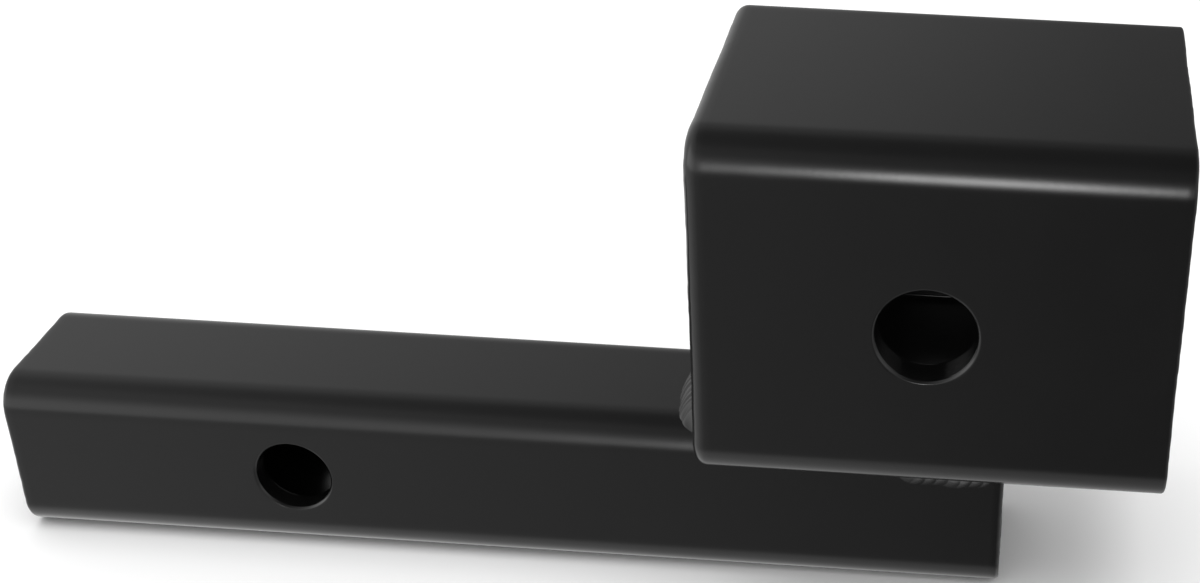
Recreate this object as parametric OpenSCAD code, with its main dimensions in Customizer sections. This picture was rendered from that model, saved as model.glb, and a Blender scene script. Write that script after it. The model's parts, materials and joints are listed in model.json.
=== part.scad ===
// Welded steel hitch receiver adapter.
// A short, wide receiver tube sits across the end of a narrow shank tube. The
// shank slides into a small hitch and is held by a pin. The receiver takes a
// wide drawbar, and a second pin. Two end fillets and two side stitches of
// weld join the tubes.
//
// Frame: the origin is the centre of the shank's pin hole. +X runs along the
// shank to the receiver, +Y along the pins and +Z up. Sizes are millimetres.

/* [Shank tube] */
// Outside width and height of the shank tube
shank_size = 31.75; // [25:0.25:50.75]
// Wall thickness of the shank tube
shank_wall = 4; // [2.5:0.25:6]
// Outside radius along the shank's four long corners
shank_corner = 6.35; // [6.1:0.05:9]
// Length of shank that stands free of the receiver and goes into the hitch
shank_free_length = 129; // [90:1:260]
// Length of shank that lies under the receiver
shank_overlap = 53; // [35:1:76]
// Rounding of the shank's outer edges at both sawn ends
shank_end_round = 0.9; // [0.3:0.1:2]

/* [Receiver tube] */
// Outside width and height of the receiver tube
receiver_size = 63.5; // [56:0.5:90]
// Wall thickness of the receiver tube
receiver_wall = 6; // [4:0.25:6.5]
// Outside radius along the receiver's four long corners
receiver_corner = 6.9; // [6.6:0.1:12]
// Length of the receiver tube
receiver_length = 80; // [60:1:160]
// Rounding of the receiver's outer edge at the end towards the shank's free end
receiver_front_round = 2.3; // [0.3:0.1:3]
// Rounding of the receiver's outer edge at its mouth
receiver_mouth_round = 0.6; // [0.3:0.1:3]
// Bevel of the inner edge at both ends of both tubes
bore_bevel = 0.5; // [0.2:0.1:1.2]

/* [Pin holes] */
// Diameter of the hole for the hitch pin in the shank
shank_pin_d = 13.7; // [10:0.1:17]
// Distance from the shank's free end to its pin hole
shank_pin_setback = 52.5; // [25:0.5:80]
// Diameter of the hole for the pin in the receiver
receiver_pin_d = 16.8; // [12:0.1:22]
// Distance from the receiver's end face nearest the shank to its pin hole
receiver_pin_setback = 39; // [25:0.5:50]
// Height of the receiver's pin hole above the receiver's lower face
receiver_pin_height = 30.6; // [25:0.1:36]
// Edge break round each pin hole, on the outside
pin_edge_break = 0.4; // [0.1:0.1:1]

/* [Welds] */
// How far the front end fillet reaches along the shank from the receiver
front_weld_reach = 6.2; // [3:0.1:9]
// How far the rear end fillet reaches along the receiver from the shank's end
rear_weld_reach = 5.4; // [3:0.1:9]
// Bare rim left on a tube's end face between a fillet and the tube's inside
weld_margin = 0.8; // [0.5:0.1:1.2]
// How far both end fillets wrap round the shank's corners, beyond its flat top
weld_wrap = 4.8; // [1:0.1:5.6]
// Length of each side stitch
stitch_length = 20; // [12:1:30]
// Distance from the shank's buried end to each side stitch
stitch_inset = 0.8; // [0.2:0.1:5]
// How far each side stitch runs down the shank's side from the receiver
stitch_drop = 9.2; // [7:0.1:12]
// How far each side stitch spreads under the receiver from the shank's side
stitch_spread = 4.2; // [2:0.1:7]
// Bulge of a weld's face beyond the straight line between its two toes
weld_crown = 0.9; // [0.2:0.1:1.6]
// Distance from one weld ripple to the next
ripple_pitch = 2; // [1.4:0.1:3]
// Height of a weld ripple above the valleys beside it
ripple_height = 0.35; // [0.1:0.05:0.6]
// How far the middle of each ripple runs ahead of its ends
ripple_bow = 1.3; // [0.4:0.1:2]

/* [Hidden] */

$fn = 96;

// How far a cutter runs past the face that it cuts
past = 1;
// How deep a weld's raw shape runs into the tubes, before they are cut out of
// it, and how deep its toes do
weld_root = 2;
toe_sink = 0.15;
// How far a side stitch reaches into the groove over the shank's corner
groove_reach = 3.5;
// Length over which a weld tapers at each end, and the share of it left there
taper_length = 5;
taper_rest = 0.3;
// Rings of points in each ripple, and facets across a weld's face
rings_per_ripple = 4;
face_steps = 6;

// Places that follow from the sizes above
shank_length = shank_free_length + shank_overlap;
shank_x0 = -shank_pin_setback;
shank_x1 = shank_x0 + shank_length;
shank_top = shank_size / 2;
shank_flat = shank_size / 2 - shank_corner;
receiver_x0 = shank_x0 + shank_free_length;
receiver_z = shank_top + receiver_size / 2;
receiver_pin_x = receiver_x0 + receiver_pin_setback;
receiver_pin_z = shank_top + receiver_pin_height;

// A tube's wall cut along the tube: X runs in from the outer face and Y along
// the length. The outer edge is rounded at both ends, the inner edge bevelled.
module wall_section(length, wall, start_round, end_round, bevel) {
    difference() {
        translate([-wall, 0])
            square([wall, length]);
        edge_waste(start_round);
        translate([0, length])
            mirror([0, 1])
                edge_waste(end_round);
        if (bevel > 0)
            for (end = [0, length])
                translate([-wall, end])
                    rotate(45)
                        square(bevel * sqrt(2), center = true);
    }
}

// What a square edge loses when it is rounded
module edge_waste(radius) {
    difference() {
        translate([-radius, -past])
            square(radius + past);
        translate([-radius, radius])
            circle(radius);
    }
}

// The wall carried round a square with rounded corners, from the origin along +X
module tube_walls(size, corner, length, wall, start_round, end_round, bevel) {
    flat = size - 2 * corner;
    rotate([90, 0, 90])
        for (quarter = [0:3])
            rotate(90 * quarter) {
                translate([size / 2, 0, 0])
                    rotate([90, 0, 0])
                        linear_extrude(flat, center = true)
                            wall_section(length, wall, start_round, end_round, bevel);
                translate([flat / 2, flat / 2, 0])
                    rotate_extrude(angle = 90)
                        translate([corner, 0])
                            wall_section(length, wall, start_round, end_round, bevel);
            }
}

// The same outside with no hollow, to cut the welds to their seats. Its core
// is a square bar that ends inside the wall, also at the rounded corners.
module solid_tube(size, corner, length, start_round, end_round) {
    core = size - corner;
    tube_walls(size, corner, length, corner / 2, start_round, end_round, 0);
    translate([0, -core / 2, -core / 2])
        cube([length, core, core]);
}

// A pin hole along Y through both walls, its outer rims broken
module pin_hole(diameter, size) {
    radius = diameter / 2;
    rotate([90, 0, 0])
        cylinder(h = size + 2 * past, r = radius, center = true);
    for (side = [-1, 1])
        rotate([90 * side, 0, 0])
            translate([0, 0, size / 2 - pin_edge_break])
                cylinder(h = 2 * pin_edge_break, r1 = radius, r2 = radius + 2 * pin_edge_break);
}

module place_shank() {
    translate([shank_x0, 0, 0])
        children();
}

module place_receiver() {
    translate([receiver_x0, 0, receiver_z])
        children();
}

module shank_tube() {
    color("#242527")
        difference() {
            place_shank()
                tube_walls(shank_size, shank_corner, shank_length, shank_wall,
                           shank_end_round, shank_end_round, bore_bevel);
            pin_hole(shank_pin_d, shank_size);
        }
}

module receiver_tube() {
    color("#1f2022")
        difference() {
            place_receiver()
                tube_walls(receiver_size, receiver_corner, receiver_length, receiver_wall,
                           receiver_front_round, receiver_mouth_round, bore_bevel);
            translate([receiver_pin_x, 0, receiver_pin_z])
                pin_hole(receiver_pin_d, receiver_size);
        }
}

// How far the shank's top has fallen away at a distance from its middle
function corner_drop(y) =
    let (over = min(max(abs(y) - shank_flat, 0), shank_corner))
    shank_corner - sqrt(shank_corner * shank_corner - over * over);

// Share of its full size that a weld has at a distance from its nearer end
function taper(from_end) =
    let (share = min(from_end / taper_length, 1))
    taper_rest + (1 - taper_rest) * sqrt(share * (2 - share));

// Height of the ripples at a place along a weld: round crests, sharp valleys
function ripple(s) = ripple_height * abs(sin(180 * s / ripple_pitch));

// One point of a weld's face. Toes are [out, up], share runs from 0 at the
// first toe to 1 at the second, and the face bulges by crown between them.
function face_point(toe_a, toe_b, share, s, crown) =
    let (across = toe_b - toe_a,
         outward = [across[1], -across[0]] / norm(across),
         hump = 4 * share * (1 - share),
         p = toe_a + share * across + hump * crown * outward)
    [p[0], s + ripple_bow * hump, p[1]];

// One ring round a weld at s: its face, then its back, deep in the tubes
function weld_ring(toe_a, toe_b, back, s, crown) = concat(
    [for (i = [0:face_steps]) face_point(toe_a, toe_b, i / face_steps, s, crown)],
    [for (p = back) [p[0], s, p[1]]]
);

// A closed skin over rings of equally many points, with a point in each end
module skin(rings) {
    n = len(rings[0]);
    last = len(rings) - 1;
    start_middle = [for (axis = [0:2]) average([for (p = rings[0]) p[axis]])];
    end_middle = [for (axis = [0:2]) average([for (p = rings[last]) p[axis]])];
    points = concat([for (ring = rings) each ring], [start_middle, end_middle]);
    sides = [for (i = [0:last - 1], j = [0:n - 1])
        let (a = i * n + j, b = i * n + (j + 1) % n)
        each [[a, b, b + n], [a, b + n, a + n]]];
    start_cap = [for (j = [0:n - 1]) [(j + 1) % n, j, len(points) - 2]];
    end_cap = [for (j = [0:n - 1]) [last * n + j, last * n + (j + 1) % n, len(points) - 1]];
    polyhedron(points, concat(sides, start_cap, end_cap));
}

function average(values) = values * [for (v = values) 1] / len(values);

// Places of the rings along a weld of this length
function ring_places(length) =
    let (steps = ceil(length / ripple_pitch) * rings_per_ripple)
    [for (i = [0:steps]) length * i / steps];

// A fillet across the shank, seen with its first toe on the shank's top or on
// the receiver's underside, and its second toe up the end face
module end_fillet(reach, rise, toe_follows_corner) {
    half = shank_flat + weld_wrap;
    skin([for (place = ring_places(2 * half))
        let (s = place - half,
             full = taper(half - abs(s)),
             fall = corner_drop(s),
             low = toe_follows_corner ? -fall : 0,
             high = toe_follows_corner ? rise * full : rise * full + fall,
             crown = weld_crown * full + ripple(place))
        weld_ring([reach * full, low - toe_sink], [-toe_sink, high],
                  [[-weld_root, high], [-weld_root, low - weld_root], [reach * full, low - weld_root]],
                  s, crown)]);
}

// A stitch in the groove between the shank's corner and the receiver
module side_stitch() {
    skin([for (s = ring_places(stitch_length))
        let (full = taper(min(s, stitch_length - s)),
             spread = stitch_spread * full,
             down = stitch_drop * full,
             crown = weld_crown * full + ripple(s))
        weld_ring([spread, -toe_sink], [-toe_sink, down],
                  [[-groove_reach, down], [-groove_reach, -weld_root], [spread, -weld_root]],
                  s, crown)]);
}

// Cuts a raw weld back to the outsides of both tubes
module seat_weld() {
    color("#303133")
        difference() {
            children();
            place_shank()
                solid_tube(shank_size, shank_corner, shank_length,
                           shank_end_round, shank_end_round);
            place_receiver()
                solid_tube(receiver_size, receiver_corner, receiver_length,
                           receiver_front_round, receiver_mouth_round);
        }
}

module front_end_weld() {
    seat_weld()
        translate([receiver_x0, 0, shank_top])
            mirror([1, 0, 0])
                end_fillet(front_weld_reach, receiver_wall - weld_margin, true);
}

module rear_end_weld() {
    seat_weld()
        translate([shank_x1, 0, shank_top])
            mirror([0, 0, 1])
                end_fillet(rear_weld_reach, shank_wall - weld_margin, false);
}

module near_side_weld() {
    seat_weld()
        translate([shank_x1 - stitch_inset - stitch_length, -shank_size / 2, shank_top])
            mirror([0, 0, 1])
                rotate(-90)
                    side_stitch();
}

module far_side_weld() {
    mirror([0, 1, 0])
        near_side_weld();
}

shank_tube();
receiver_tube();
front_end_weld();
rear_end_weld();
near_side_weld();
far_side_weld();
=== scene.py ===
"""Looks of the hitch receiver adapter: two painted square tubes and the four welds that join them."""
import json
import math

import bpy
import numpy as np
from mathutils import Matrix, Vector


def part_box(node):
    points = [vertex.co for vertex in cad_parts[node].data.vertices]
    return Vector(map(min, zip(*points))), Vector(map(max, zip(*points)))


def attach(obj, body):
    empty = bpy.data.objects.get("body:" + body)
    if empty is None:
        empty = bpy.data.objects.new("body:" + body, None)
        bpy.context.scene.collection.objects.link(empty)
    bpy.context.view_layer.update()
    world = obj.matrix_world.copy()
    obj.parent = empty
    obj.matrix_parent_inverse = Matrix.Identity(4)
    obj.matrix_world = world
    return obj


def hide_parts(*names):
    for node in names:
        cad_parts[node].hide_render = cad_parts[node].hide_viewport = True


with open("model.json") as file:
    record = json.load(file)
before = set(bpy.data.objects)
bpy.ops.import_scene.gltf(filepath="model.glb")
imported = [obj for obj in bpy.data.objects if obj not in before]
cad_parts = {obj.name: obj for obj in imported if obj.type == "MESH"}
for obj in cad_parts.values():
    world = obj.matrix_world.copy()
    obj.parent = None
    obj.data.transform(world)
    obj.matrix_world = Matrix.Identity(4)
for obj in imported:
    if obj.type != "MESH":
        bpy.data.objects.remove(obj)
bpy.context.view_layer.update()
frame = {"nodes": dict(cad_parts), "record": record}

# Sizes in metres. What the frame holds is read from it, and these say the rest of the real object.
MM = 0.001
SHANK_WALL = 4.0 * MM
SHANK_CORNER = 6.35 * MM
SHANK_END_ROUND = 0.9 * MM
RECEIVER_WALL = 6.0 * MM
RECEIVER_CORNER = 6.9 * MM
RECEIVER_FRONT_ROUND = 2.3 * MM
RECEIVER_MOUTH_ROUND = 0.6 * MM
BORE_BEVEL = 0.5 * MM
RIM_BREAK = 0.4 * MM
SHANK_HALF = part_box("shank_tube")[1].z
FRONT_WELD_REACH = 6.2 * MM
REAR_WELD_REACH = 5.4 * MM
WELD_MARGIN = 0.8 * MM
WELD_WRAP = 4.8 * MM
STITCH_LENGTH = 20.0 * MM
STITCH_INSET = 0.8 * MM
STITCH_DROP = 9.2 * MM
STITCH_SPREAD = 4.2 * MM
WELD_CROWN = 0.9 * MM
WELD_ROOT = 2.0 * MM
TOE_SINK = 0.15 * MM
GROOVE_REACH = 3.5 * MM
RIPPLE_PITCH = 2.0 * MM
RIPPLE_HEIGHT = 0.35 * MM
RIPPLE_BOW = 1.3 * MM

# Meshes: the grid's step, the square patch that holds each pin hole, and how the ends were sawn
GRID_STEP = 1.1 * MM
SHANK_PATCH = 8.4 * MM
RECEIVER_PATCH = 12.0 * MM
MERGE_GRID = 0.0001 * MM
NOISE_CELLS = 32
SAW_DEPTH = 0.3 * MM
SAW_REACH = 4.0 * MM
SAW_WAVE = 9.0 * MM
SAW_GRAIN = 1.3 * MM

# Welds: how closely the rings stand, how the ends round and taper, and how the toes wander
RING_SPACING = 0.11 * MM
BEAD_STEPS = 26
END_ROUND = 1.2 * MM
TAPER_LENGTH = 5.0 * MM
TAPER_REST = 0.3
TOE_WANDER = 0.5 * MM
TOE_WANDER_CELL = 3.0 * MM
TOE_RIPPLE = 0.15 * MM
BEAT_CELL = 4.0 * MM
CREST_CELL = 5.0 * MM
CREST_POWER = 0.75
SIDE_RIPPLE_HEIGHT = 0.6 * RIPPLE_HEIGHT

# The paint and its orange peel. Noise is in cells to a metre.
PAINT_TONE = (0.003, 0.003, 0.003, 1)
PAINT_ROUGHNESS = (0.15, 0.20)
PAINT_IOR = 1.5
PEEL_CELLS = 900.0
PEEL_STRENGTH = 0.25
PEEL_HEIGHT = 0.02 * MM
CLOUD_CELLS = 60.0

# The room's light by direction, as gloss sees it, where 1 is white: x to the right and z up
ROOM_WHITE = 1.0
ROOM_LEVEL = 0.24
LEFT_GAIN, LEFT_LEAST, LEFT_MOST = -0.95, -0.06, 0.75
RIGHT_LEVEL = 0.35
CEILING_SHARE = 0.55
FRONT_LEVEL, FRONT_GAIN = 0.35, -0.9
BELOW_LEVEL = 0.4
WINDOW_MIDDLE = (-0.012, 0.155)
WINDOW_SPREAD, WINDOW_LEVEL = (0.055, 0.16), 14.0
GLOW_SPREAD, GLOW_LEVEL = (0.16, 0.20), 1.3

# The floor and the lamp, in metres and watts
FLOOR_HALF = 6.0
FLOOR_TONE = (0.86, 0.86, 0.86, 1)
FLOOR_ROUGHNESS = 0.9
LAMP_SIZE = 1.6
LAMP_POWER = 14.0
LAMP_PLACE = (0.0, -0.3, 1.5)
LAMP_AIM = (0.05, 0.0, 0.0)

# The camera, fitted to the photograph: its place, how far it is turned left, tipped down and rolled,
# its lens, and how far its picture is shifted, in picture widths
PHOTO_WIDTH, PHOTO_HEIGHT = 1200, 583
CAMERA_PLACE = (129.11 * MM, -307.16 * MM, 207.16 * MM)
CAMERA_LEFT, CAMERA_DOWN, CAMERA_ROLL = 3.2478, 30.2191, 1.7473
SENSOR = 36.0
LENS = 59.473
PICTURE_CENTRE = (913.51, 337.18)

MOUNTS = {mount["name"]: mount for mount in frame["record"]["mounts"]}


class Wire:
    """A shader socket that does arithmetic: each operator adds the Math node that it needs."""

    def __init__(self, bench, socket):
        self.bench = bench
        self.socket = socket

    def sum_of(self, operation, *values):
        return self.bench.node("ShaderNodeMath", {"operation": operation}, dict(enumerate(values)))

    def __add__(self, other):
        return self.sum_of("ADD", self, other)

    def __sub__(self, other):
        return self.sum_of("SUBTRACT", self, other)

    def __rsub__(self, other):
        return self.sum_of("SUBTRACT", other, self)

    def __mul__(self, other):
        return self.sum_of("MULTIPLY", self, other)

    def __truediv__(self, other):
        return self.sum_of("DIVIDE", self, other)

    def __pow__(self, other):
        return self.sum_of("POWER", self, other)

    __radd__ = __add__
    __rmul__ = __mul__

    def most(self, other):
        return self.sum_of("MAXIMUM", self, other)

    def least(self, other):
        return self.sum_of("MINIMUM", self, other)

    def exp(self):
        return self.sum_of("EXPONENT", self)

    def ramp(self, low, high, from_value=0.0, to_value=1.0):
        """Goes smoothly from from_value at low to to_value at high, and stays there beyond them."""
        return self.bench.node(
            "ShaderNodeMapRange",
            {"interpolation_type": "SMOOTHSTEP"},
            {"Value": self, "From Min": low, "From Max": high, "To Min": from_value, "To Max": to_value},
        )


class Bench:
    """A node tree, and one method that adds a node to it."""

    def __init__(self, tree):
        self.tree = tree
        tree.nodes.clear()

    def node(self, kind, settings=None, inputs=None, output=0):
        """Adds a node: its settings first, then its sockets' values or links. Returns one output."""
        made = self.tree.nodes.new(kind)
        for name, value in (settings or {}).items():
            setattr(made, name, value)
        for name, value in (inputs or {}).items():
            if isinstance(value, Wire):
                self.tree.links.new(value.socket, made.inputs[name])
            else:
                made.inputs[name].default_value = value
        return Wire(self, made.outputs[output]) if made.outputs else made

    def parts(self, vector):
        """The x, y and z of a vector."""
        split = self.node("ShaderNodeSeparateXYZ", {}, {0: vector})
        return [Wire(self, out) for out in split.socket.node.outputs]

    def noise(self, place, scale, detail):
        """Fractal noise round 0.5, with cells of 1/scale metres."""
        return self.node("ShaderNodeTexNoise", {}, {"Vector": place, "Scale": scale, "Detail": detail})


def make_camera():
    """Stands the camera at the photograph's place, turned, tipped, rolled and shifted as its picture is."""
    yaw, pitch, roll = (math.radians(a) for a in (CAMERA_LEFT, CAMERA_DOWN, CAMERA_ROLL))
    right = Vector((math.cos(yaw), math.sin(yaw), 0))
    ahead = Vector((-math.sin(yaw) * math.cos(pitch), math.cos(yaw) * math.cos(pitch), -math.sin(pitch)))
    up = right.cross(ahead)
    side = right * math.cos(roll) + up * math.sin(roll)
    top = up * math.cos(roll) - right * math.sin(roll)
    data = bpy.data.cameras.new("camera")
    data.sensor_width = SENSOR
    data.lens = LENS
    data.shift_x = (PHOTO_WIDTH / 2 - PICTURE_CENTRE[0]) / PHOTO_WIDTH
    data.shift_y = (PICTURE_CENTRE[1] - PHOTO_HEIGHT / 2) / PHOTO_WIDTH
    camera = bpy.data.objects.new("camera", data)
    turned = Matrix((side, top, -ahead)).transposed().to_4x4()
    camera.matrix_world = Matrix.Translation(CAMERA_PLACE) @ turned
    bpy.context.scene.collection.objects.link(camera)
    bpy.context.scene.camera = camera


def patch_of_light(x, z, spread):
    """A soft oval of light round the window's middle: exp(-(dx / spread x)^2 - (dz / spread z)^2)."""
    across = ((x - WINDOW_MIDDLE[0]) / spread[0]) ** 2
    upright = ((z - WINDOW_MIDDLE[1]) / spread[1]) ** 2
    return (across * -1 - upright).exp()


def make_room():
    """A white room. In gloss it is brighter to the left and along the front, dim overhead, with a tall
    window behind the camera, whose reflection runs along the receiver's upper edge."""
    world = bpy.data.worlds.new("room")
    bpy.context.scene.world = world
    world.use_nodes = True
    bench = Bench(world.node_tree)
    way = bench.node("ShaderNodeTexCoord")
    x, y, z = bench.parts(way)
    in_front = y.ramp(0.15, -0.15)
    left_light = (x * LEFT_GAIN).most(LEFT_LEAST).least(LEFT_MOST)
    side_light = ROOM_LEVEL + left_light + x.ramp(0.25, 0.9, 0.0, RIGHT_LEVEL)
    overhead = z.ramp(0.80, 0.995, 1.0, CEILING_SHARE)
    front_light = FRONT_LEVEL + (x * FRONT_GAIN).most(0.0)
    front_band = in_front * z.ramp(-0.20, 0.05) * z.ramp(0.75, 0.25) * front_light
    below = z.ramp(-0.62, -0.85, 0.0, BELOW_LEVEL)
    window = in_front * patch_of_light(x, z, WINDOW_SPREAD) * WINDOW_LEVEL
    glow = in_front * patch_of_light(x, z, GLOW_SPREAD) * GLOW_LEVEL
    gloss = side_light * overhead + front_band + below + window + glow
    paths = bench.node("ShaderNodeLightPath")
    is_gloss = Wire(bench, paths.socket.node.outputs["Is Glossy Ray"])
    strength = gloss * is_gloss + (1 - is_gloss) * ROOM_WHITE
    light = bench.node("ShaderNodeBackground", {}, {"Color": (1, 1, 1, 1), "Strength": strength})
    bench.node("ShaderNodeOutputWorld", {}, {"Surface": light})
    bpy.context.scene.view_settings.view_transform = "Standard"


def make_floor():
    """A plain white floor under the shank, which stays out of the paint's gloss."""
    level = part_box("shank_tube")[0].z
    signs = (-1, -1), (1, -1), (1, 1), (-1, 1)
    corners = [(x * FLOOR_HALF, y * FLOOR_HALF, level) for x, y in signs]
    mesh = bpy.data.meshes.new("floor")
    mesh.from_pydata(corners, [], [(0, 1, 2, 3)])
    floor = bpy.data.objects.new("floor", mesh)
    bpy.context.scene.collection.objects.link(floor)
    material = bpy.data.materials.new("white_floor")
    material.use_nodes = True
    bench = Bench(material.node_tree)
    sockets = {"Base Color": FLOOR_TONE, "Roughness": FLOOR_ROUGHNESS}
    paper = bench.node("ShaderNodeBsdfPrincipled", {}, sockets)
    bench.node("ShaderNodeOutputMaterial", {}, {"Surface": paper})
    mesh.materials.append(material)
    floor.visible_glossy = False


def make_lamp():
    """A wide soft lamp over the object, which lights the floor and casts the soft shadow."""
    data = bpy.data.lights.new("soft_lamp", "AREA")
    data.shape = "DISK"
    data.size = LAMP_SIZE
    data.energy = LAMP_POWER
    lamp = bpy.data.objects.new("soft_lamp", data)
    lamp.location = LAMP_PLACE
    lamp.visible_glossy = False
    bpy.context.scene.collection.objects.link(lamp)
    aim = Vector(LAMP_AIM) - lamp.location
    lamp.rotation_mode = "QUATERNION"
    lamp.rotation_quaternion = aim.to_track_quat("-Z", "Y")


def black_paint(name):
    """Glossy black paint with a fine orange peel."""
    material = bpy.data.materials.new(name)
    material.use_nodes = True
    bench = Bench(material.node_tree)
    place = bench.node("ShaderNodeTexCoord", output=3)
    peel = bench.noise(place, PEEL_CELLS, 2.0)
    cloud = bench.noise(place, CLOUD_CELLS, 3.0)
    sockets = {"Strength": PEEL_STRENGTH, "Distance": PEEL_HEIGHT, "Height": peel}
    bump = bench.node("ShaderNodeBump", {}, sockets)
    paint = bench.node("ShaderNodeBsdfPrincipled", {}, {
        "Base Color": PAINT_TONE,
        "Roughness": cloud.ramp(0.3, 0.7, *PAINT_ROUGHNESS),
        "IOR": PAINT_IOR,
        "Normal": bump,
    })
    bench.node("ShaderNodeOutputMaterial", {}, {"Surface": paint})
    return material


def stops(first, *rest):
    """Places along a line: from the first, each later (place, steps) is reached in that many even steps."""
    places = [np.array([first])]
    for place, steps in rest:
        places.append(np.linspace(places[-1][-1], place, steps + 1)[1:])
    return np.concatenate(places)


def noise_at(points, cell, seed):
    """Smooth noise from 0 to 1: random values at the corners of cubic cells, blended by 3t^2 - 2t^3."""
    table = np.random.default_rng(seed).random((NOISE_CELLS, NOISE_CELLS, NOISE_CELLS))
    scaled = points / cell
    corner = np.floor(scaled).astype(int)
    part = scaled - corner
    part = part * part * (3 - 2 * part)
    total = np.zeros(len(points))
    for step in np.ndindex(2, 2, 2):
        share = np.prod(np.where(step, part, 1 - part), axis=1)
        x, y, z = ((corner + step) % NOISE_CELLS).T
        total += share * table[x, y, z]
    return total


def grid_faces(rows, columns, closed_rows=False, closed_columns=False):
    """Four-sided faces of a grid of points, numbered row by row, as an array (row, column, 4)."""
    row = np.arange(rows if closed_rows else rows - 1)[:, None]
    column = np.arange(columns if closed_columns else columns - 1)[None, :]
    next_row, next_column = (row + 1) % rows, (column + 1) % columns
    corners = (row, column), (next_row, column), (next_row, next_column), (row, next_column)
    return np.stack([r * columns + c for r, c in corners], axis=-1)


def merged(points, faces):
    """Joins the points that lie on each other, and drops those that no face uses."""
    keys, first, place_of = np.unique(np.round(points / MERGE_GRID).astype(np.int64), axis=0,
                                      return_index=True, return_inverse=True)
    faces = place_of.reshape(-1)[faces]
    used, faces = np.unique(faces, return_inverse=True)
    return points[first[used]], faces.reshape(-1, 4)


def make_piece(name, points, faces, material, node):
    """A smooth closed mesh that stands for a CAD node."""
    mesh = bpy.data.meshes.new(name)
    mesh.from_pydata(points.tolist(), [], faces)
    mesh.polygons.foreach_set("use_smooth", np.ones(len(mesh.polygons), bool))
    mesh.materials.append(material)
    mesh.update()
    piece = bpy.data.objects.new(name, mesh)
    bpy.context.scene.collection.objects.link(piece)
    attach(piece, "root")
    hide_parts(node)


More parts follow.
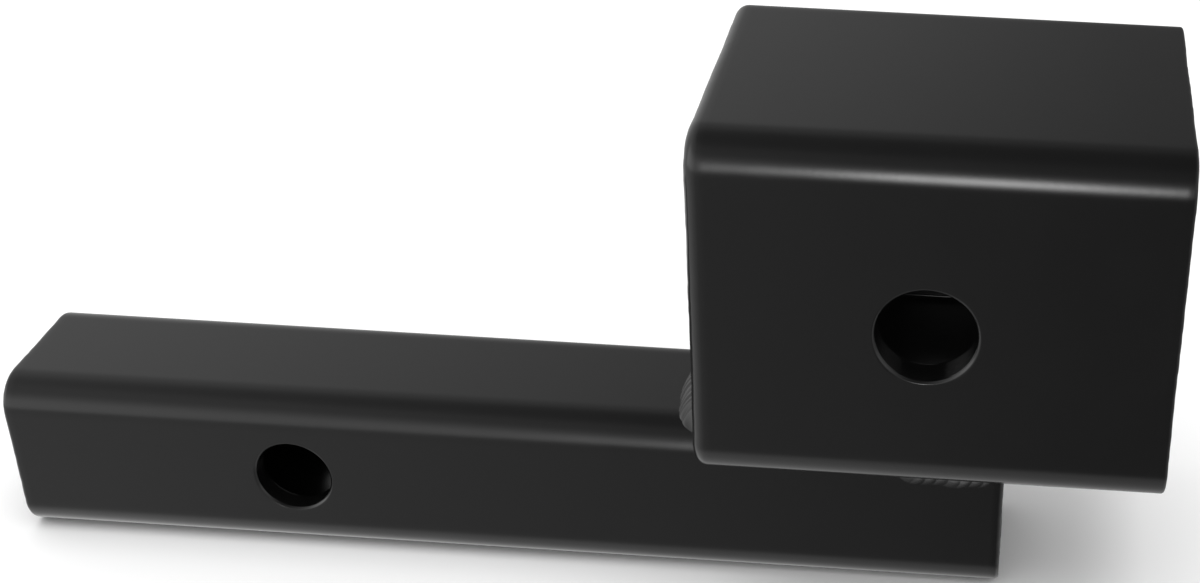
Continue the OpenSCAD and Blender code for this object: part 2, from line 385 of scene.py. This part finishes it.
class SquareTube:
    """A square tube along X: its wall is carried round a square with rounded corners, and a pin hole runs
    along Y through both side walls. Side 0 faces -Y, side 1 up, side 2 +Y and side 3 down."""

    PATCH_STEPS = 32
    ROUND_STEPS = 6
    CORNER_STEPS = 18
    CRISP = 0.05 * MM
    FACE_STEPS = 6
    JUST_INSIDE = 0.9999
    OUTER_SHARES = (0, 0.3, 0.55, 0.75, 0.88, 0.95, 1)
    RIM_PARTS = (0.08, 0.3, 0.55, 0.8, 1)
    RIM_CURVE = 1.3
    BORE_PARTS = (0.05, 0.2, 0.4, 0.6, 0.8, 0.95)
    INNER_SHARES = (1, 0.9, 0.7, 0.45, 0.2, 0)

    def __init__(self, node, wall, corner, rounds, hole, patch):
        self.low, self.high = (np.array(end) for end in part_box(node))
        self.wall, self.corner, self.rounds = wall, corner, rounds
        self.length = self.high[0] - self.low[0]
        self.middle = (self.low + self.high) / 2
        self.flat = (self.high[2] - self.low[2]) / 2 - corner
        self.hole_along = hole["pos_m"][0] - self.low[0]
        self.hole_up = hole["pos_m"][2] - self.middle[2]
        self.hole_radius = hole["dims"]["r_mm"] * MM
        self.patch = patch

    def outline(self, step):
        """The wall cut along the tube as rows (along, depth): a quarter round at the start, the outer skin,
        a quarter round, the end face and bevel, the inner skin, and the bevel and end face at the start."""
        start, end = self.rounds
        wall, length, crisp = self.wall, self.length, self.CRISP
        a, b = self.hole_along - self.patch, self.hole_along + self.patch
        turn = np.linspace(0, np.pi / 2, self.ROUND_STEPS + 1)
        skin = stops(start, (a, math.ceil((a - start) / step)), (b, self.PATCH_STEPS),
                     (length - end, math.ceil((length - end - b) / step)))
        lip = BORE_BEVEL + crisp
        inner = stops(lip, (a, math.ceil((a - lip) / step)), (b, self.PATCH_STEPS),
                      (length - lip, math.ceil((length - lip - b) / step)))
        face = stops(end, (wall - BORE_BEVEL - crisp, self.FACE_STEPS))[1:]
        bevel = np.array([0, crisp, BORE_BEVEL / 2, BORE_BEVEL - crisp, BORE_BEVEL])
        face_back = stops(start, (wall - BORE_BEVEL - crisp, self.FACE_STEPS))[:0:-1]
        rows = [
            (start - start * np.cos(turn), start - start * np.sin(turn)),
            (skin[1:-1], 0 * skin[1:-1]),
            ((length - end + end * np.cos(turn))[::-1], (end - end * np.sin(turn))[::-1]),
            (length + 0 * face, face),
            (length - bevel, wall - BORE_BEVEL + bevel),
            (inner[::-1], wall + 0 * inner),
            (bevel[::-1], (wall - BORE_BEVEL + bevel)[::-1]),
            (0 * face_back, face_back),
        ]
        return np.concatenate([np.stack(row, axis=1) for row in rows])

    def section(self, step):
        """Once round the section: for each column its centre of rounding and its outward way, both in
        (y, z), and its side and place along that side where it is on a flat."""
        centres, ways, sides, places = [], [], [], []
        flat = self.flat
        turn = np.linspace(0, np.pi / 2, self.CORNER_STEPS + 1)[1:-1]
        for side in range(4):
            middle = (self.hole_up, 0, -self.hole_up, 0)[side]
            a, b = middle - self.patch, middle + self.patch
            place = stops(-flat, (a, math.ceil((a + flat) / step)), (b, self.PATCH_STEPS),
                          (flat, math.ceil((flat - b) / step)))
            out, along = self.side_axes(side)
            next_out = self.side_axes((side + 1) % 4)[0]
            centres += [flat * out + place[:, None] * along, np.tile(flat * (out + along), (len(turn), 1))]
            ways += [np.tile(out, (len(place), 1)),
                     np.cos(turn)[:, None] * out + np.sin(turn)[:, None] * next_out]
            sides += [np.full(len(place), side), np.full(len(turn), -1)]
            places += [place, np.zeros(len(turn))]
        return (np.concatenate(part) for part in (centres, ways, sides, places))

    def side_axes(self, side):
        """A side's outward way and the way along it, both in (y, z)."""
        angle = -math.pi / 2 * side
        turned = np.array([[math.cos(angle), -math.sin(angle)], [math.sin(angle), math.cos(angle)]])
        return turned @ np.array([-1.0, 0.0]), turned @ np.array([0.0, 1.0])

    def walls(self, step):
        """The whole skin as a closed grid, without the faces where the pin holes' patches go."""
        rows = self.outline(step)
        centres, ways, sides, places = self.section(step)
        across = centres[None] + (self.corner - rows[:, 1])[:, None, None] * ways[None]
        along = np.broadcast_to(rows[:, 0][:, None, None], across.shape[:2] + (1,))
        points = np.concatenate([along + self.low[0], across + self.middle[1:]], axis=-1)
        faces = grid_faces(len(rows), len(ways), True, True)
        keep = np.ones(faces.shape[:2], bool)
        near = self.patch * self.JUST_INSIDE
        row_middle = (rows[:, 0] + np.roll(rows[:, 0], -1)) / 2
        on_skin = (rows[:, 1] == np.roll(rows[:, 1], -1)) & np.isin(rows[:, 1], (0, self.wall))
        row_in = on_skin & (np.abs(row_middle - self.hole_along) < near)
        column_middle = (places + np.roll(places, -1)) / 2
        for side in (0, 2):
            middle = self.hole_up * (1 if side == 0 else -1)
            on_side = (sides == side) & (np.roll(sides, -1) == side)
            column_in = on_side & (np.abs(column_middle - middle) < near)
            keep &= ~(row_in[:, None] & column_in[None, :])
        return points.reshape(-1, 3), faces[keep]

    def hole_lining(self, side, rim_width, rim_depth):
        """The skin from the square edge of the patch to the round rim, over the rim's break, through the
        wall and out to the inner patch's edge. Each ring blends the square into a circle by its share."""
        count = 4 * self.PATCH_STEPS
        angle = -0.75 * np.pi + 2 * np.pi * np.arange(count) / count
        circle = np.stack([np.cos(angle), np.sin(angle)], axis=1)
        edge = np.linspace(-self.patch, self.patch, self.PATCH_STEPS + 1)[:-1]
        same = np.full_like(edge, self.patch)
        square = np.concatenate([np.stack(pair, axis=1) for pair in
                                 ((edge, -same), (same, edge), (-edge, same), (-same, -edge))])
        radius, crisp, wall = self.hole_radius, self.CRISP, self.wall
        width, depth = rim_width(angle), rim_depth(angle)
        rings = [(share, radius + width, 0 * depth) for share in self.OUTER_SHARES]
        rings += [(1, radius + width * (1 - part) ** self.RIM_CURVE, depth * part)
                  for part in self.RIM_PARTS]
        rings += [(1, radius + 0 * width, depth + (wall - depth) * part) for part in self.BORE_PARTS]
        rings += [(share, radius + crisp + 0 * width, wall + 0 * depth) for share in self.INNER_SHARES]
        flat_points = np.stack([(1 - share) * square + share * reach[:, None] * circle
                                for share, reach, _ in rings])
        depths = np.stack([ring_depth for _, _, ring_depth in rings])
        out, along = self.side_axes(side)
        middle = self.hole_up * (1 if side == 0 else -1)
        half = self.flat + self.corner
        across = (flat_points[..., 1:] + middle) * along + (half - depths)[..., None] * out
        x = flat_points[..., :1] + self.hole_along + self.low[0]
        points = np.concatenate([x, across + self.middle[1:]], axis=-1).reshape(-1, 3)
        faces = grid_faces(len(rings), count, False, True)[..., [0, 3, 2, 1]]
        return points, faces.reshape(-1, 4)

    def mesh(self, step, rim_width, rim_depth):
        """The walls and both hole linings as one closed mesh."""
        parts = [self.walls(step)]
        for side in (0, 2):
            parts.append(self.hole_lining(side, rim_width[side], rim_depth[side]))
        points = np.concatenate([part[0] for part in parts])
        starts = np.cumsum([0] + [len(part[0]) for part in parts[:-1]])
        faces = np.concatenate([part[1] + start for part, start in zip(parts, starts)])
        return merged(points, faces)


def sawn_ends(points, low, high, depth, reach, seed):
    """Draws the end faces in by smooth noise over their height and width, fading out over the reach."""
    flat = points * (0, 1, 1)
    wave = 0.7 * noise_at(flat, SAW_WAVE, seed) + 0.3 * noise_at(flat, SAW_GRAIN, seed + 1)
    wave -= wave.min()
    from_start = np.clip(1 - (points[:, 0] - low) / reach, 0, 1)
    from_end = np.clip(1 - (high - points[:, 0]) / reach, 0, 1)
    moved = points.copy()
    moved[:, 0] += depth * (from_start * wave - from_end * wave)
    return moved


def plain_rim(value):
    """The same rim size all the way round."""
    return lambda angle: np.full_like(angle, value)


def make_shank(material):
    """The narrow tube that goes into the hitch."""
    tube = SquareTube("shank_tube", SHANK_WALL, SHANK_CORNER, (SHANK_END_ROUND, SHANK_END_ROUND),
                      MOUNTS["shank_pin_hole"], SHANK_PATCH)
    rim = {side: plain_rim(RIM_BREAK) for side in (0, 2)}
    points, faces = tube.mesh(GRID_STEP, rim, rim)
    points = sawn_ends(points, tube.low[0], tube.high[0], SAW_DEPTH, SAW_REACH, 3)
    make_piece("shank", points, faces.tolist(), material, "shank_tube")


def make_receiver(material):
    """The wide tube that takes the drawbar."""
    rounds = (RECEIVER_FRONT_ROUND, RECEIVER_MOUTH_ROUND)
    tube = SquareTube("receiver_tube", RECEIVER_WALL, RECEIVER_CORNER, rounds,
                      MOUNTS["receiver_pin_hole"], RECEIVER_PATCH)
    rim = {side: plain_rim(RIM_BREAK) for side in (0, 2)}
    points, faces = tube.mesh(GRID_STEP, rim, rim)
    points = sawn_ends(points, tube.low[0], tube.high[0], SAW_DEPTH, SAW_REACH, 8)
    make_piece("receiver", points, faces.tolist(), material, "receiver_tube")


def bead(length, toes, crown, behind, ripple, seed):
    """A weld bead as a closed loft of rings along its length. At a place s and a share t across the face,
    the point is the straight line between the two toes, pushed out by crown * 4t(1-t) and by the ripples,
    |sin(pi s / pitch)| with an uneven pitch and height, and run ahead by bow * 4t(1-t). The ring closes
    inside the tubes, this far behind. Returns points as (out, along, up), the sides and the two ends."""
    rings = int(length / RING_SPACING)
    place = np.linspace(0, length, rings)
    share = np.linspace(0, 1, BEAD_STEPS)
    hump = 4 * share * (1 - share)
    wander = np.stack([place, 0 * place, 0 * place], axis=1)
    beat = place / RIPPLE_PITCH + 0.5 * noise_at(wander, BEAT_CELL, seed)
    crest_size = 0.6 + 0.8 * noise_at(wander, CREST_CELL, seed + 1)
    crest = np.abs(np.sin(np.pi * beat)) ** CREST_POWER * crest_size
    end = np.clip(np.minimum(place, length - place) / END_ROUND, 0, 1)
    rounded = np.sqrt(np.clip(end * (2 - end), 0, 1))
    toe_a, toe_b = (toe[:, None, :] for toe in toes(place, crest))
    across = toe_b - toe_a
    outward = np.stack([across[..., 1], -across[..., 0]], axis=-1)
    outward /= np.linalg.norm(outward, axis=-1, keepdims=True)
    height = crown(place)[:, None] * hump + ripple * crest[:, None] * np.sqrt(hump)
    face = toe_a + share[None, :, None] * across + (height * rounded[:, None])[..., None] * outward
    along = place[:, None] + RIPPLE_BOW * hump[None, :] * rounded[:, None]
    high, low = toe_b[:, 0, 1], toe_a[:, 0, 1]
    out = toe_a[:, 0, 0]
    inner = np.full(rings, -behind)
    corners = (inner, high), (inner, low - WELD_ROOT), (out, low - WELD_ROOT)
    back = np.stack([np.stack(corner, axis=1) for corner in corners], axis=1)
    ring = np.concatenate([face, back], axis=1)
    along = np.concatenate([along, np.repeat(place[:, None], 3, axis=1)], axis=1)
    points = np.stack([ring[..., 0], along, ring[..., 1]], axis=-1)
    count = ring.shape[1]
    faces = grid_faces(rings, count, False, True).reshape(-1, 4)
    middles = np.stack([points[0].mean(axis=0), points[-1].mean(axis=0)])
    around = np.arange(count)
    following = np.roll(around, -1)
    first = np.stack([np.full(count, rings * count), around, following], axis=1)
    last = np.stack([np.full(count, rings * count + 1), following, around], axis=1)
    last[:, 1:] += (rings - 1) * count
    return np.concatenate([points.reshape(-1, 3), middles]), faces, np.concatenate([first, last])


def make_weld(name, node, material, origin, out, along, up, shape):
    """Places a bead by the directions of its out, along and up, and makes it a piece."""
    points, sides, ends = shape
    points = np.array(origin) + points @ np.array([out, along, up], dtype=float)
    turned = np.linalg.det(np.array([out, along, up], dtype=float)) < 0
    faces = sides.tolist() + ends.tolist()
    if turned:
        faces = [face[::-1] for face in faces]
    make_piece(name, points, faces, material, node)


def corner_drop(y):
    """How far the shank's top has fallen away at a distance from its middle."""
    over = np.clip(np.abs(y) - (SHANK_HALF - SHANK_CORNER), 0, SHANK_CORNER)
    return SHANK_CORNER - np.sqrt(SHANK_CORNER ** 2 - over ** 2)


def taper(from_end):
    """Share of its full size that a weld has at a distance from its nearer end."""
    share = np.clip(from_end / TAPER_LENGTH, 0, 1)
    return TAPER_REST + (1 - TAPER_REST) * np.sqrt(share * (2 - share))


def toe_wander(place, seed):
    """How far a toe strays from its line, at places along the weld."""
    line = np.stack([place, 0 * place, 0 * place], axis=1)
    return TOE_WANDER * (noise_at(line, TOE_WANDER_CELL, seed + 5) - 0.5)


def make_end_weld(name, node, material, end, out, up, reach, rise, follows_corner, seed):
    """A fillet across the shank: its first toe is on the shank's top or the receiver's underside, its
    second on the end face."""
    half = SHANK_HALF - SHANK_CORNER + WELD_WRAP

    def toes(place, crest):
        s = place - half
        full = taper(half - np.abs(s))
        fall = corner_drop(s)
        low = -fall if follows_corner else 0 * fall
        high = rise * full + (0 if follows_corner else fall)
        out_to = reach * full + toe_wander(s, seed) + TOE_RIPPLE * crest
        toe_a = np.stack([out_to, low - TOE_SINK], axis=1)
        toe_b = np.stack([0 * s - TOE_SINK, high], axis=1)
        return toe_a, toe_b

    def crown(place):
        return WELD_CROWN * taper(half - np.abs(place - half))

    shape = bead(2 * half, toes, crown, WELD_ROOT, RIPPLE_HEIGHT, seed)
    make_weld(name, node, material, (end, -half, SHANK_HALF), out, (0, 1, 0), up, shape)


def make_side_weld(name, node, material, side, seed):
    """A stitch in the groove between the shank's upper corner and the receiver, on the side -1 or 1."""
    low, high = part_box("shank_tube")
    start = high.x - STITCH_INSET - STITCH_LENGTH

    def toes(place, crest):
        full = taper(np.minimum(place, STITCH_LENGTH - place))
        toe_a = np.stack([STITCH_SPREAD * full, 0 * place - TOE_SINK], axis=1)
        toe_b = np.stack([0 * place - TOE_SINK, STITCH_DROP * full + toe_wander(place, seed)], axis=1)
        return toe_a, toe_b

    def crown(place):
        return WELD_CROWN * taper(np.minimum(place, STITCH_LENGTH - place))

    shape = bead(STITCH_LENGTH, toes, crown, GROOVE_REACH, SIDE_RIPPLE_HEIGHT, seed)
    make_weld(name, node, material, (start, side * SHANK_HALF, SHANK_HALF),
              (0, side, 0), (1, 0, 0), (0, 0, -1), shape)


def make_welds(material):
    """The two end fillets and the two side stitches."""
    shank_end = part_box("shank_tube")[1].x
    receiver_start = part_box("receiver_tube")[0].x
    make_end_weld("front_weld", "front_end_weld", material, receiver_start, (-1, 0, 0), (0, 0, 1),
                  FRONT_WELD_REACH, RECEIVER_WALL - WELD_MARGIN, True, 11)
    make_end_weld("rear_weld", "rear_end_weld", material, shank_end, (1, 0, 0), (0, 0, -1),
                  REAR_WELD_REACH, SHANK_WALL - WELD_MARGIN, False, 21)
    make_side_weld("near_weld", "near_side_weld", material, -1, 31)
    make_side_weld("far_weld", "far_side_weld", material, 1, 41)


make_camera()
make_room()
make_floor()
make_lamp()
paint = black_paint("black_paint")
make_shank(paint)
make_receiver(paint)
make_welds(paint)
# The CAD nodes that the pieces stand for wear the same paint
for node in frame["nodes"].values():
    node.data.materials.clear()
    node.data.materials.append(paint)
